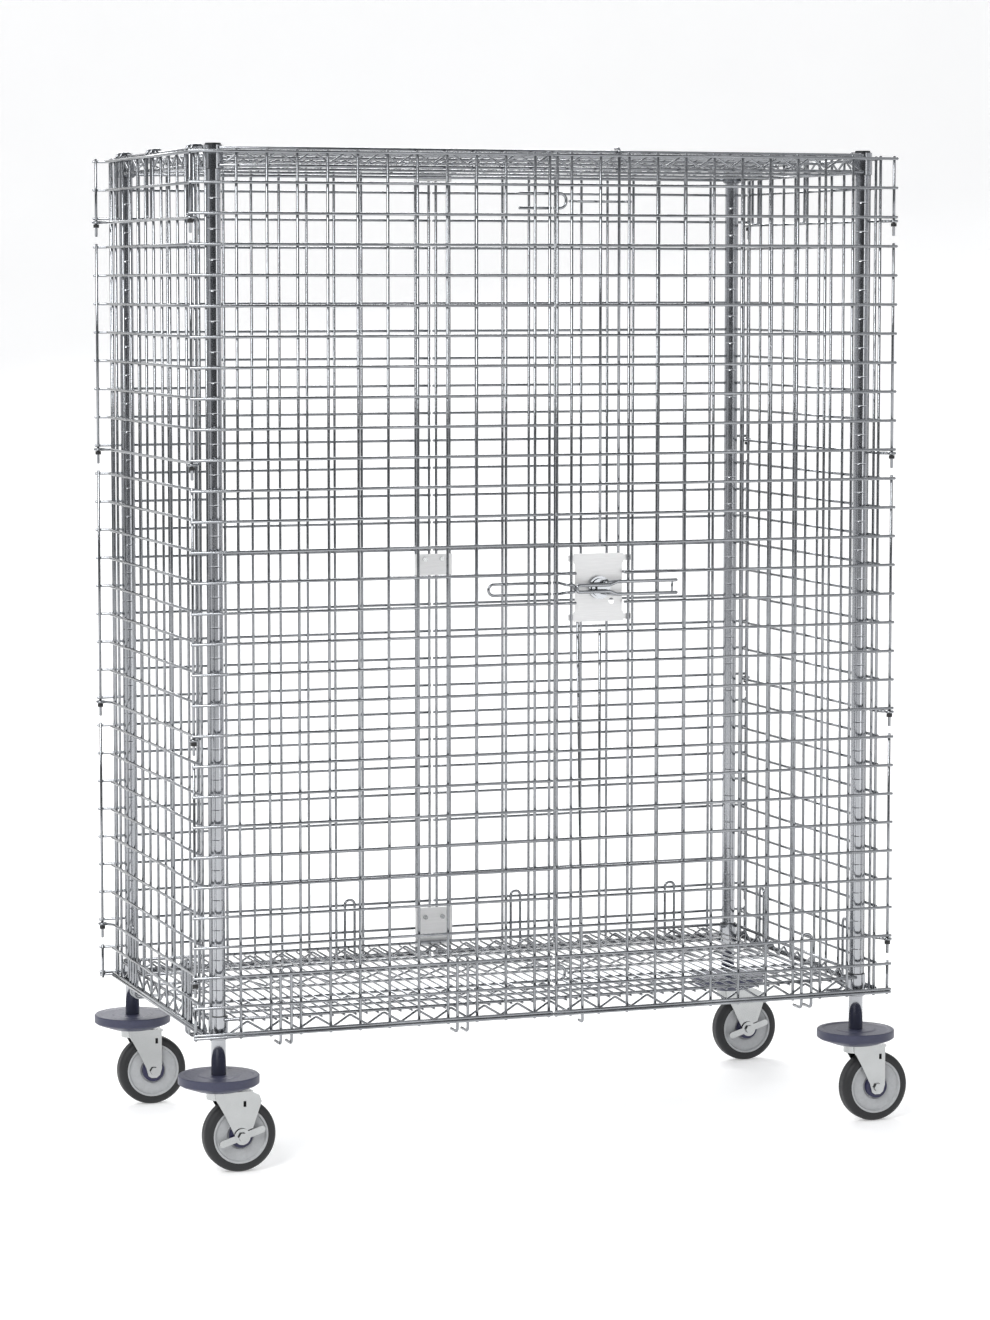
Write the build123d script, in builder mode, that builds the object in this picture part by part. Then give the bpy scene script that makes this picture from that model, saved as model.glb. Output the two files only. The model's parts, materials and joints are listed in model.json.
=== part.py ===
from build123d import *
from math import atan2, cos, sin
import os

os.makedirs("parts", exist_ok=True)

# ---- driving dimensions, millimetres --------------------------------------
COLUMN_PITCH = 53.2          # mesh spacing across every panel
ROW_PITCH = 51.5             # mesh spacing up every panel
PANEL_COLUMNS = 12           # pitches across one door or one rear half panel
SIDE_COLUMNS = 11            # pitches across one side panel
ROWS = 30                    # horizontal wires in a panel
TOP_ROW_Z = 1733.0           # height of the highest horizontal wire
CAGE_DEPTH = 642.6           # door wires to rear panel wires
CENTRE_GAP = 14.1            # between the inner edge wires of two leaves
POST_SPAN_X = 1194.8         # post centre to post centre, along the width
POST_SPAN_Y = 583.8          # post centre to post centre, along the depth
POST_D = 25.4
CAP_TOP_Z = 1747.2
TOP_SHELF_Z = 1739.0         # height of the top shelf's rim wire
BOTTOM_SHELF_Z = 266.0       # height of the bottom shelf's rim wire
WHEEL_D = 127.0
WHEEL_WIDTH = 31.0
TRAIL = 34.7                 # wheel axle behind the swivel axis
BUMPER_D = 139.6
SIDE_INSET = 22.0            # side panel wires inboard of the hinge line

# ---- wire sizes and clearances ----------------------------------------------
WIRE_D = 5.2                 # panel wires
RIM_D = 6.0                  # shelf rim wires
DECK_D = 3.6                 # shelf deck wires
TRUSS_D = 4.0                # zigzag wires
WELD_GAP = 0.02              # crossing wires stand this far apart
FREE = 0.4                   # clearance around anything that moves

# ---- places worked out from the driving dimensions ---------------------------
CROSS = WIRE_D + WELD_GAP    # centre distance of two crossing panel wires
FRONT_Y = -CAGE_DEPTH / 2
REAR_Y = CAGE_DEPTH / 2
POST_X = POST_SPAN_X / 2
POST_Y = POST_SPAN_Y / 2
WHEEL_R = WHEEL_D / 2
CENTRE_X = -(TRAIL + WHEEL_R - BUMPER_D / 2) / 2   # cage centre seen from the footprint's centre
PANEL_WIDTH = PANEL_COLUMNS * COLUMN_PITCH
EDGE_X = CENTRE_GAP / 2
HINGE_X = EDGE_X + PANEL_WIDTH
SIDE_X = HINGE_X - SIDE_INSET
SIDE_ROW_X = SIDE_X + CROSS
SIDE_HALF = SIDE_COLUMNS * COLUMN_PITCH / 2
BOTTOM_ROW_Z = TOP_ROW_Z - (ROWS - 1) * ROW_PITCH
ROW_HEIGHTS = [TOP_ROW_Z - ROW_PITCH * row for row in range(ROWS)]
COLUMN_OFFSETS = [0, 0.5] + [column + 0.5 for column in range(1, PANEL_COLUMNS)] + [PANEL_COLUMNS]
HINGE_ROWS = (2, 10, 19, 27)
SIDES = (-1, 1)


def save(piece, name):
    """Label one finished piece and write its STEP file."""
    piece.part.label = name
    export_step(piece.part, f"parts/{name}.step")


def at_x(side, distance):
    """X of a place this far to one side of the cage's centre plane."""
    return CENTRE_X + side * distance


def upright_wires(places, z_low, z_high, diameter=WIRE_D):
    """Add upright wires at the given (x, y) places to the part being built."""
    middle = (z_low + z_high) / 2
    with Locations(*[(x, y, middle) for x, y in places]):
        Cylinder(diameter / 2, z_high - z_low)


def wires_along_x(places, x_low, x_high, diameter=WIRE_D):
    """Add wires along X at the given (y, z) places to the part being built."""
    middle = (x_low + x_high) / 2
    with Locations(*[(middle, y, z) for y, z in places]):
        Cylinder(diameter / 2, x_high - x_low, rotation=(0, 90, 0))


def wires_along_y(places, y_low, y_high, diameter=WIRE_D):
    """Add wires along Y at the given (x, z) places to the part being built."""
    middle = (y_low + y_high) / 2
    with Locations(*[(x, middle, z) for x, z in places]):
        Cylinder(diameter / 2, y_high - y_low, rotation=(90, 0, 0))


def bent_wire(points, bend, diameter=WIRE_D):
    """One wire swept along a rounded path, made apart from any part being built."""
    with BuildLine(mode=Mode.PRIVATE) as route:
        FilletPolyline(*points, radius=bend)
    with BuildSketch(Plane(origin=route.line @ 0, z_dir=route.line % 0), mode=Mode.PRIVATE) as section:
        Circle(diameter / 2)
    return sweep(section.sketch, path=route.line, mode=Mode.PRIVATE)


def add_wires(wires):
    """Add finished wires, which don't touch, to the part being built."""
    for wire in wires:
        add(wire)


# ---- posts and their caps -----------------------------------------------------
POST_BOTTOM_Z = 146.0
POST_TOP_Z = 1744.2
POST_WALL = 1.6
CAP_D = 27.0
CAP_PLUG = 18.0
GROOVE_WIDTH = 1.6
GROOVE_DEPTH = 0.35
POST_CORNERS = [(at_x(side, POST_X), end * POST_Y) for side in SIDES for end in SIDES]

with BuildPart() as posts:
    with BuildSketch(Plane.XZ) as post_section:
        with BuildLine():
            Polyline(
                (POST_D / 2 - POST_WALL, POST_BOTTOM_Z),
                (POST_D / 2, POST_BOTTOM_Z),
                (POST_D / 2, POST_TOP_Z),
                (POST_D / 2 - POST_WALL, POST_TOP_Z),
                close=True,
            )
        make_face()
        with Locations(*[(POST_D / 2, z + ROW_PITCH / 2) for z in ROW_HEIGHTS[1:]]):
            Rectangle(2 * GROOVE_DEPTH, GROOVE_WIDTH, mode=Mode.SUBTRACT)
    one_post = revolve(axis=Axis.Z, mode=Mode.PRIVATE)
    with Locations(*POST_CORNERS):
        add(one_post)
save(posts, "posts")

with BuildPart() as post_caps:
    with Locations(*[(x, y, POST_TOP_Z + 0.1) for x, y in POST_CORNERS]):
        Cylinder(CAP_D / 2, CAP_TOP_Z - POST_TOP_Z - 0.1, align=(Align.CENTER, Align.CENTER, Align.MIN))
        Cylinder(POST_D / 2 - POST_WALL - 0.05, CAP_PLUG, align=(Align.CENTER, Align.CENTER, Align.MAX))
save(post_caps, "post_caps")

# ---- wire shelves ---------------------------------------------------------------
RIM_OFFSET = 16.0            # rim wire outboard of the post centres
RIM_X = POST_X + RIM_OFFSET
RIM_Y = POST_Y + RIM_OFFSET
RIM_GAP = 29.0               # upper rim wire to lower rim wire
COLLAR_D = 34.0
COLLAR_WALL = 1.6
COLLAR_TOP = 4.4             # above the rim wire's centre
COLLAR_BOTTOM = -34.4
SLEEVE_LIP = 0.8
DECK_PITCH = 20.4
ZIGZAG_PITCH = 3 * DECK_PITCH
RIB_Y = 102.0
DECK_DROP = RIM_D / 2 + DECK_D / 2 + WELD_GAP
RIB_DROP = DECK_DROP + DECK_D / 2 + WIRE_D / 2 + WELD_GAP
COLLAR_CUT_R = COLLAR_D / 2 + WELD_GAP


def cut_at_collars(z_middle):
    """Trim the part being built where the four corner collars stand."""
    with Locations(*[(x, y, z_middle) for x, y in POST_CORNERS]):
        Cylinder(COLLAR_CUT_R, 100, mode=Mode.SUBTRACT)


def zigzag_points(count, place, z_high, z_low):
    """Corner points of a zigzag wire with this many peaks on each side of its middle."""
    points = []
    for half_step in range(-2 * count - 1, 2 * count + 2):
        height = z_low if half_step % 2 else z_high
        points.append(place(half_step * ZIGZAG_PITCH / 2, height))
    return points


def shelf(name, rim_z):
    """Write the three welded groups of one wire shelf."""
    lower_z = rim_z - RIM_GAP
    with BuildPart() as frame:
        rim_places = [(end * RIM_Y, z) for end in SIDES for z in (rim_z, lower_z)]
        wires_along_x(rim_places, at_x(-1, POST_X), at_x(1, POST_X), RIM_D)
        side_places = [(at_x(side, RIM_X), z) for side in SIDES for z in (rim_z, lower_z)]
        wires_along_y(side_places, -POST_Y, POST_Y, RIM_D)
        cut_at_collars(rim_z - RIM_GAP / 2)
        rib_end = RIM_X - RIM_D / 2 - WELD_GAP
        rib_places = [(end * RIB_Y, z) for end in SIDES for z in (rim_z - RIB_DROP, lower_z)]
        wires_along_x(rib_places, at_x(-1, rib_end), at_x(1, rib_end))
    save(frame, f"{name}_frame")

    weld_drop = (RIM_D + TRUSS_D) / 2 + WELD_GAP
    rib_weld = (WIRE_D + TRUSS_D) / 2 + WELD_GAP
    long_count = 9
    short_count = 4
    bend = 5.0
    zigzags = []
    for end in SIDES:
        along_rim = lambda run, z, end=end: (CENTRE_X + run, end * RIM_Y, z)
        along_rib = lambda run, z, end=end: (CENTRE_X + run, end * RIB_Y, z)
        along_side = lambda run, z, end=end: (at_x(end, RIM_X), run, z)
        high = rim_z - weld_drop
        low = lower_z + weld_drop
        zigzags.append(bent_wire(zigzag_points(long_count, along_rim, high, low), bend, TRUSS_D))
        zigzags.append(bent_wire(zigzag_points(short_count, along_side, high, low), bend, TRUSS_D))
        rib_high = rim_z - RIB_DROP - rib_weld
        rib_low = lower_z + rib_weld
        zigzags.append(bent_wire(zigzag_points(long_count, along_rib, rib_high, rib_low), bend, TRUSS_D))
    with BuildPart() as trusses:
        add_wires(zigzags)
    save(trusses, f"{name}_trusses")

    deck_count = 28
    offsets = [(step + 0.5) * DECK_PITCH for step in range(-deck_count, deck_count)]
    with BuildPart() as deck:
        deck_places = [(CENTRE_X + offset, rim_z - DECK_DROP) for offset in offsets]
        wires_along_y(deck_places, -RIM_Y - DECK_D / 2, RIM_Y + DECK_D / 2, DECK_D)
    save(deck, f"{name}_deck")


shelf("top_shelf", TOP_SHELF_Z)
shelf("bottom_shelf", BOTTOM_SHELF_Z)

COLLAR_HEIGHT = COLLAR_TOP - COLLAR_BOTTOM
COLLAR_BASES = [(x, y, z + COLLAR_BOTTOM) for x, y in POST_CORNERS for z in (TOP_SHELF_Z, BOTTOM_SHELF_Z)]
COLLAR_BORE_R = COLLAR_D / 2 - COLLAR_WALL
FROM_BASE = (Align.CENTER, Align.CENTER, Align.MIN)

with BuildPart() as shelf_collars:
    with Locations(*COLLAR_BASES):
        Cylinder(COLLAR_D / 2, COLLAR_HEIGHT, align=FROM_BASE)
        Cylinder(COLLAR_BORE_R, COLLAR_HEIGHT, align=FROM_BASE, mode=Mode.SUBTRACT)
save(shelf_collars, "shelf_collars")

with BuildPart() as shelf_sleeves:
    with Locations(*[(x, y, z - SLEEVE_LIP) for x, y, z in COLLAR_BASES]):
        Cylinder(COLLAR_BORE_R - 0.05, COLLAR_HEIGHT + 2 * SLEEVE_LIP, align=FROM_BASE)
        Cylinder(POST_D / 2 + 0.05, COLLAR_HEIGHT + 2 * SLEEVE_LIP, align=FROM_BASE, mode=Mode.SUBTRACT)
        Box(0.6, 40, COLLAR_HEIGHT + 2 * SLEEVE_LIP, align=FROM_BASE, mode=Mode.SUBTRACT)
save(shelf_sleeves, "shelf_sleeves")

# ---- wire panels -----------------------------------------------------------------
OVERHANG = 5.0               # panel wires run past the edge wires
SIDE_OVERHANG = 16.4         # side panel wires reach towards the hinge lines
PIN_DROP = 33.0              # a hinge pin hangs this far below its row
STUB = 6.0                   # the edge wire resumes this far above the next row
PLATE_ROWS = (14, 15)        # rows cut away for the latch plate
PLATE_COLUMN = 2             # column cut away for the latch plate
LATCH_X = 85.5               # latch centre, right of the cage's centre plane
LATCH_Z = TOP_ROW_Z - 14.5 * ROW_PITCH
PLATE_W = 93.0
PLATE_H = 119.0
LEAF_TOP_Z = TOP_ROW_Z + OVERHANG
LEAF_BOTTOM_Z = BOTTOM_ROW_Z - OVERHANG


def hinge_edge(x, y):
    """Add a leaf's outer edge wire, broken below each hinge row to leave a pin."""
    breaks = [LEAF_TOP_Z]
    for row in HINGE_ROWS:
        breaks.append(ROW_HEIGHTS[row] - PIN_DROP)
        breaks.append(ROW_HEIGHTS[row + 1] + STUB)
    breaks.append(LEAF_BOTTOM_Z)
    for z_high, z_low in zip(breaks[::2], breaks[1::2]):
        upright_wires([(x, y)], z_low, z_high)


def leaf_rows(side, y, row_y, skip=()):
    """Add the horizontal wires of a door or rear half panel."""
    ends = sorted((at_x(side, EDGE_X - OVERHANG), at_x(side, HINGE_X + OVERHANG)))
    heights = [z for row, z in enumerate(ROW_HEIGHTS) if row not in skip]
    heights.append(BOTTOM_ROW_Z + CROSS)
    wires_along_x([(row_y, z) for z in heights], *ends)


def leaf(side, y, row_y, skip_columns=(), skip_rows=()):
    """Add the wires that every door and rear half panel shares."""
    offsets = COLUMN_OFFSETS[:-1]
    kept = [offset for column, offset in enumerate(offsets) if column not in skip_columns]
    places = [(at_x(side, EDGE_X + offset * COLUMN_PITCH), y) for offset in kept]
    upright_wires(places, LEAF_BOTTOM_Z, LEAF_TOP_Z)
    hinge_edge(at_x(side, HINGE_X), y)
    leaf_rows(side, y, row_y, skip_rows)


with BuildPart() as left_door_panel:
    leaf(-1, FRONT_Y, FRONT_Y - CROSS)
save(left_door_panel, "left_door_panel")

with BuildPart() as right_door_panel:
    leaf(1, FRONT_Y, FRONT_Y - CROSS, (PLATE_COLUMN,), PLATE_ROWS)
    cut_column_x = at_x(1, EDGE_X + COLUMN_OFFSETS[PLATE_COLUMN] * COLUMN_PITCH)
    upright_wires([(cut_column_x, FRONT_Y)], ROW_HEIGHTS[13] - OVERHANG, LEAF_TOP_Z)
    upright_wires([(cut_column_x, FRONT_Y)], LEAF_BOTTOM_Z, ROW_HEIGHTS[16] + OVERHANG)
    plate_left = at_x(1, LATCH_X - PLATE_W / 2)
    plate_right = at_x(1, LATCH_X + PLATE_W / 2)
    cut_rows = [(FRONT_Y - CROSS, ROW_HEIGHTS[row]) for row in PLATE_ROWS]
    wires_along_x(cut_rows, at_x(1, EDGE_X - OVERHANG), plate_left + 2)
    wires_along_x(cut_rows, plate_right - 2, at_x(1, HINGE_X + OVERHANG))
save(right_door_panel, "right_door_panel")

with BuildPart() as rear_left_panel:
    leaf(-1, REAR_Y, REAR_Y + CROSS)
save(rear_left_panel, "rear_left_panel")

with BuildPart() as rear_right_panel:
    leaf(1, REAR_Y, REAR_Y + CROSS)
save(rear_right_panel, "rear_right_panel")

SIDE_OFFSETS = [-SIDE_COLUMNS / 2] + list(range(-5, 6)) + [SIDE_COLUMNS / 2]


def side_panel(side, name):
    """Write one side panel."""
    with BuildPart() as panel:
        places = [(at_x(side, SIDE_X), offset * COLUMN_PITCH) for offset in SIDE_OFFSETS]
        upright_wires(places, LEAF_BOTTOM_Z, LEAF_TOP_Z)
        reach = SIDE_HALF + SIDE_OVERHANG
        heights = [z for row, z in enumerate(ROW_HEIGHTS) if row not in HINGE_ROWS]
        heights.append(BOTTOM_ROW_Z + CROSS)
        wires_along_y([(at_x(side, SIDE_ROW_X), z) for z in heights], -reach, reach)
    save(panel, name)


side_panel(-1, "left_side_panel")
side_panel(1, "right_side_panel")

# ---- hinge eyes and retaining caps -------------------------------------------------
EYE_R = WIRE_D + FREE        # radius of the eye wire's centre line
EYE_DROP = 7.0               # eye below its hinge row
RETAINER_D = 10.4
RETAINER_H = 6.0
RETAINER_DROP = EYE_DROP + WIRE_D / 2 + 0.8


def hinge_wire(side, z):
    """One side panel wire that leans out at both ends and closes there in an eye around a hinge pin."""
    row_x = at_x(side, SIDE_ROW_X)
    eye_x = at_x(side, HINGE_X)
    corner_y = SIDE_HALF + SIDE_OVERHANG / 2
    lean = atan2(corner_y - REAR_Y, row_x - eye_x)
    ring_x = eye_x + EYE_R * cos(lean)
    ring_y = REAR_Y + EYE_R * sin(lean)
    route = [(ring_x, -ring_y, z), (row_x, -corner_y, z), (row_x, corner_y, z), (ring_x, ring_y, z)]
    wire = bent_wire(route, 6)
    with BuildPart(mode=Mode.PRIVATE) as whole:
        add(wire)
        with Locations((eye_x, FRONT_Y, z), (eye_x, REAR_Y, z)):
            Torus(EYE_R, WIRE_D / 2)
            Cylinder(WIRE_D / 2 + FREE, 3 * WIRE_D, mode=Mode.SUBTRACT)
    return whole.part


with BuildPart() as hinge_eyes:
    add_wires([hinge_wire(side, ROW_HEIGHTS[row] - EYE_DROP) for side in SIDES for row in HINGE_ROWS])
save(hinge_eyes, "hinge_eyes")


def retainers(corners, name):
    """Write the push-on caps that keep hinge pins in their eyes."""
    with BuildPart() as caps:
        places = [(x, y, ROW_HEIGHTS[row] - RETAINER_DROP) for x, y in corners for row in HINGE_ROWS]
        with Locations(*places):
            Cylinder(RETAINER_D / 2, RETAINER_H, align=(Align.CENTER, Align.CENTER, Align.MAX))
            Cylinder(WIRE_D / 2 + WELD_GAP, 3 * RETAINER_H, mode=Mode.SUBTRACT)
    save(caps, name)


retainers([(at_x(-1, HINGE_X), FRONT_Y)], "left_door_hinge_caps")
retainers([(at_x(1, HINGE_X), FRONT_Y)], "right_door_hinge_caps")
retainers([(at_x(side, HINGE_X), REAR_Y) for side in SIDES], "rear_hinge_caps")

# ---- hairpin hooks that stop the panels being pried ----------------------------------
HOOK_LEG = 9.6               # half the distance between a hook's legs
HOOK_TOP_Z = TOP_ROW_Z - 1380.0
HOOK_BOTTOM_Z = 220.0
HOOK_REACH = 34.0


def floor_hook(place):
    """Hairpin wire: up one leg, over the top, down the other, both feet bent inboard."""
    points = [
        place(-HOOK_LEG, HOOK_REACH, HOOK_BOTTOM_Z),
        place(-HOOK_LEG, 0, HOOK_BOTTOM_Z),
        place(-HOOK_LEG, 0, HOOK_TOP_Z),
        place(HOOK_LEG, 0, HOOK_TOP_Z),
        place(HOOK_LEG, 0, HOOK_BOTTOM_Z),
        place(HOOK_LEG, HOOK_REACH, HOOK_BOTTOM_Z),
    ]
    return bent_wire(points, HOOK_LEG - 1.0)


def front_hook(x):
    return floor_hook(lambda run, inward, z: (x + run, FRONT_Y + inward, z))


def rear_hook(x):
    return floor_hook(lambda run, inward, z: (x + run, REAR_Y - inward, z))


def side_hook(side, y):
    return floor_hook(lambda run, inward, z: (at_x(side, SIDE_X - inward), y + run, z))


HOOK_OUTER = EDGE_X + 9.0 * COLUMN_PITCH
HOOK_INNER = EDGE_X + 3.0 * COLUMN_PITCH
SIDE_HOOK_Y = 3.55 * COLUMN_PITCH

with BuildPart() as left_door_hooks:
    add_wires([front_hook(at_x(-1, distance)) for distance in (HOOK_OUTER, HOOK_INNER)])
save(left_door_hooks, "left_door_hooks")

with BuildPart() as right_door_hook:
    add_wires([front_hook(at_x(1, HOOK_OUTER))])
save(right_door_hook, "right_door_hook")

HANGER_LEG = 14.0
HANGER_INNER = RIM_X - 9.0
HANGER_TOP_Z = TOP_SHELF_Z + (RIM_D + WIRE_D) / 2 + WELD_GAP
HANGER_LOW_Z = ROW_HEIGHTS[2] - 5.0
HANGER_TIP_Z = TOP_SHELF_Z - 4.0


def side_hanger(side, y):
    """Hairpin wire that hangs on the top shelf's side rim behind the side panel's rows."""
    inner = at_x(side, HANGER_INNER)
    outer = at_x(side, SIDE_X)
    points = [
        (inner, y - HANGER_LEG, HANGER_TIP_Z),
        (inner, y - HANGER_LEG, HANGER_TOP_Z),
        (outer, y - HANGER_LEG, HANGER_TOP_Z),
        (outer, y - HANGER_LEG, HANGER_LOW_Z),
        (outer, y + HANGER_LEG, HANGER_LOW_Z),
        (outer, y + HANGER_LEG, HANGER_TOP_Z),
        (inner, y + HANGER_LEG, HANGER_TOP_Z),
        (inner, y + HANGER_LEG, HANGER_TIP_Z),
    ]
    return bent_wire(points, 6)


HANGER_Y = 4.47 * COLUMN_PITCH

with BuildPart() as panel_hooks:
    add_wires([side_hook(side, end * SIDE_HOOK_Y) for side in SIDES for end in SIDES])
    add_wires([side_hanger(side, y) for side in SIDES for y in (-HANGER_Y, 0.5 * COLUMN_PITCH, HANGER_Y)])
    add_wires([rear_hook(at_x(side, distance)) for side in SIDES for distance in (HOOK_OUTER, HOOK_INNER)])
save(panel_hooks, "panel_hooks")

# ---- plates that join the two rear half panels ------------------------------------------
# height of the middle from the top row, width, height
REAR_PLATES = ((-16.0, 74.0, 28.0), (-748.5, 74.0, 40.0), (-1439.0, 74.0, 74.0))
REAR_PLATE_T = 2.0
REAR_PLATE_Y = REAR_Y - WIRE_D / 2 - WELD_GAP - REAR_PLATE_T
SCREW_SPACING = 34.0
SCREW_D = 5.0
SCREW_HEAD_D = 9.0
SCREW_HEAD_H = 2.6
SCREW_LENGTH = 11.0
SCREW_PLACES = [
    (CENTRE_X + side * SCREW_SPACING / 2, TOP_ROW_Z + drop + height / 4)
    for drop, width, height in REAR_PLATES
    for side in SIDES
]

with BuildPart() as rear_join_plates:
    for drop, width, height in REAR_PLATES:
        with Locations((CENTRE_X, REAR_PLATE_Y, TOP_ROW_Z + drop)):
            Box(width, REAR_PLATE_T, height, align=(Align.CENTER, Align.MIN, Align.CENTER))
    with Locations(*[(x, REAR_PLATE_Y, z) for x, z in SCREW_PLACES]):
        Cylinder(SCREW_D / 2 + WELD_GAP, 4 * REAR_PLATE_T, rotation=(90, 0, 0), mode=Mode.SUBTRACT)
save(rear_join_plates, "rear_join_plates")

with BuildPart() as rear_plate_screws:
    with Locations(*[(x, REAR_PLATE_Y - WELD_GAP, z) for x, z in SCREW_PLACES]):
        Cylinder(SCREW_HEAD_D / 2, SCREW_HEAD_H, rotation=(90, 0, 0), align=FROM_BASE)
        Cylinder(SCREW_D / 2, SCREW_LENGTH, rotation=(-90, 0, 0), align=FROM_BASE)
save(rear_plate_screws, "rear_plate_screws")

# ---- latch plate, keepers and rod guides on the right door ---------------------------------
PLATE_T = 1.5
PLATE_FRONT_Y = FRONT_Y + WIRE_D / 2 + WELD_GAP
PLATE_BACK_Y = PLATE_FRONT_Y + PLATE_T
TAB_H = 10.0
TAB_CURL = 4.0
TAB_PAST = 5.2               # the tabs reach this far past the wires they curl around
TAB_REACH = {
    -1: LATCH_X - (EDGE_X + 0.5 * COLUMN_PITCH) + TAB_PAST,
    1: EDGE_X + 2.5 * COLUMN_PITCH - LATCH_X + TAB_PAST,
}
NOTCH_DEPTH = 2.6
LOCK_HOLE_R = 5.3
LOCK_HOLE = (24.0, -24.2)    # from the latch centre
SPINDLE_R = 5.0
LATCH = (at_x(1, LATCH_X), LATCH_Z)
TAB_Z = [LATCH_Z + end * (PLATE_H / 2 - TAB_H / 2 - 3.0) for end in SIDES]

with BuildPart() as latch_plate:
    with BuildSketch(Plane.XZ.offset(-PLATE_BACK_Y)):
        with Locations(LATCH):
            Rectangle(PLATE_W, PLATE_H)
        tab_middle = (TAB_REACH[1] - TAB_REACH[-1]) / 2
        with Locations(*[(LATCH[0] + tab_middle, z) for z in TAB_Z]):
            Rectangle(TAB_REACH[1] + TAB_REACH[-1], TAB_H)
        with Locations((LATCH[0] - PLATE_W / 2, LATCH[1]), (LATCH[0] + PLATE_W / 2, LATCH[1])):
            RectangleRounded(2 * NOTCH_DEPTH, PLATE_H - 3 * TAB_H - 4, 2.4, mode=Mode.SUBTRACT)
        with Locations((LATCH[0] + LOCK_HOLE[0], LATCH[1] + LOCK_HOLE[1])):
            Circle(LOCK_HOLE_R, mode=Mode.SUBTRACT)
        with Locations(LATCH):
            Circle(SPINDLE_R + 0.08, mode=Mode.SUBTRACT)
    extrude(amount=PLATE_T)
    for side in SIDES:
        curl_x = LATCH[0] + side * (TAB_REACH[side] - PLATE_T / 2)
        with Locations(*[(curl_x, PLATE_FRONT_Y, z) for z in TAB_Z]):
            Box(PLATE_T, TAB_CURL, TAB_H, align=(Align.CENTER, Align.MAX, Align.CENTER))
save(latch_plate, "latch_plate")

KEEPER_GAP = 1.6             # a loop ends this far from the middle of the door gap
LOOP_Y = FRONT_Y + CROSS     # loops lie behind the door's upright wires
CATCH_DROPS = (78.4, 1421.6) # catch loops below the top row
CATCH_HALF = 12.6
CATCH_TAIL = 62.0
CATCH_REACH = 25.0
HASP_HALF = 9.7
HASP_TAIL = 117.0


def prongs(side, z, half, x_from, x_to):
    """Two level wires one above the other on a door's inner face."""
    return [(LOOP_Y, z + half), (LOOP_Y, z - half)], *sorted((at_x(side, x_from), at_x(side, x_to)))


with BuildPart() as left_door_catches:
    for drop in CATCH_DROPS:
        wires_along_x(*prongs(-1, TOP_ROW_Z - drop, CATCH_HALF, KEEPER_GAP, CATCH_TAIL))
save(left_door_catches, "left_door_catches")


def closed_loop(x_open, x_closed, z, half):
    """U-shaped wire whose two prongs end at x_open and whose round end reaches x_closed."""
    points = [
        (x_open, LOOP_Y, z + half),
        (x_closed, LOOP_Y, z + half),
        (x_closed, LOOP_Y, z - half),
        (x_open, LOOP_Y, z - half),
    ]
    return bent_wire(points, half - 0.1)


with BuildPart() as left_door_hasp:
    add_wires([closed_loop(at_x(-1, KEEPER_GAP), at_x(-1, HASP_TAIL), LATCH_Z, HASP_HALF)])
save(left_door_hasp, "left_door_hasp")

with BuildPart() as right_door_catches:
    add_wires([
        closed_loop(at_x(1, KEEPER_GAP), at_x(1, CATCH_REACH), TOP_ROW_Z - drop, CATCH_HALF)
        for drop in CATCH_DROPS
    ])
save(right_door_catches, "right_door_catches")

STAPLE_X = 36.0
STAPLE_HALF = 6.5
STAPLE_Y = FRONT_Y - 10.6
staple_points = [
    (at_x(1, KEEPER_GAP), LOOP_Y, LATCH_Z + HASP_HALF),
    (at_x(1, EDGE_X + 5.0), LOOP_Y, LATCH_Z + HASP_HALF),
    (at_x(1, EDGE_X + 15.0), STAPLE_Y, LATCH_Z + STAPLE_HALF),
    (at_x(1, STAPLE_X), STAPLE_Y, LATCH_Z + STAPLE_HALF),
    (at_x(1, STAPLE_X), STAPLE_Y, LATCH_Z - STAPLE_HALF),
    (at_x(1, EDGE_X + 15.0), STAPLE_Y, LATCH_Z - STAPLE_HALF),
    (at_x(1, EDGE_X + 5.0), LOOP_Y, LATCH_Z - HASP_HALF),
    (at_x(1, KEEPER_GAP), LOOP_Y, LATCH_Z - HASP_HALF),
]
with BuildPart() as padlock_staple:
    add_wires([bent_wire(staple_points, 4.0)])
save(padlock_staple, "padlock_staple")

# ---- latch handle, crank and rods ----------------------------------------------------------
ROD_Y = FRONT_Y + 7.2        # rods run between the door wires and the shelf rims
CRANK_R = 38.5
CRANK_T = 3.0
CRANK_Y = ROD_Y + WIRE_D / 2 + FREE
HANDLE_D = 6.0
HANDLE_Y = FRONT_Y - 20.0
HANDLE_LEFT = -48.0
HANDLE_RIGHT = 138.0
HANDLE_NARROW = 5.7
HANDLE_WIDE = 11.0
HUB_STEPS = ((20.0, 2.2, -4.2), (16.0, -4.2, -7.6), (8.0, -7.6, -13.0))   # radius, back and front offsets
ROD_TOP_Z = TOP_SHELF_Z + (RIM_D + WIRE_D) / 2 + 1.0
ROD_BOTTOM_Z = BOTTOM_SHELF_Z - RIM_GAP - 16.0
ROD_REACH = 19.0


def handle_point(run, rise, y=HANDLE_Y):
    return (LATCH[0] + run, y, LATCH[1] + rise)


handle_points = [
    handle_point(HANDLE_RIGHT, HANDLE_WIDE, HANDLE_Y + 9.0),
    handle_point(HANDLE_RIGHT, HANDLE_WIDE),
    handle_point(26.0, HANDLE_WIDE),
    handle_point(12.0, HANDLE_NARROW),
    handle_point(HANDLE_LEFT, HANDLE_NARROW),
    handle_point(HANDLE_LEFT, -HANDLE_NARROW),
    handle_point(12.0, -HANDLE_NARROW),
    handle_point(26.0, -HANDLE_WIDE),
    handle_point(HANDLE_RIGHT, -HANDLE_WIDE),
    handle_point(HANDLE_RIGHT, -HANDLE_WIDE, HANDLE_Y + 9.0),
]
LEG_Y = FRONT_Y + HUB_STEPS[1][2]

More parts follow.
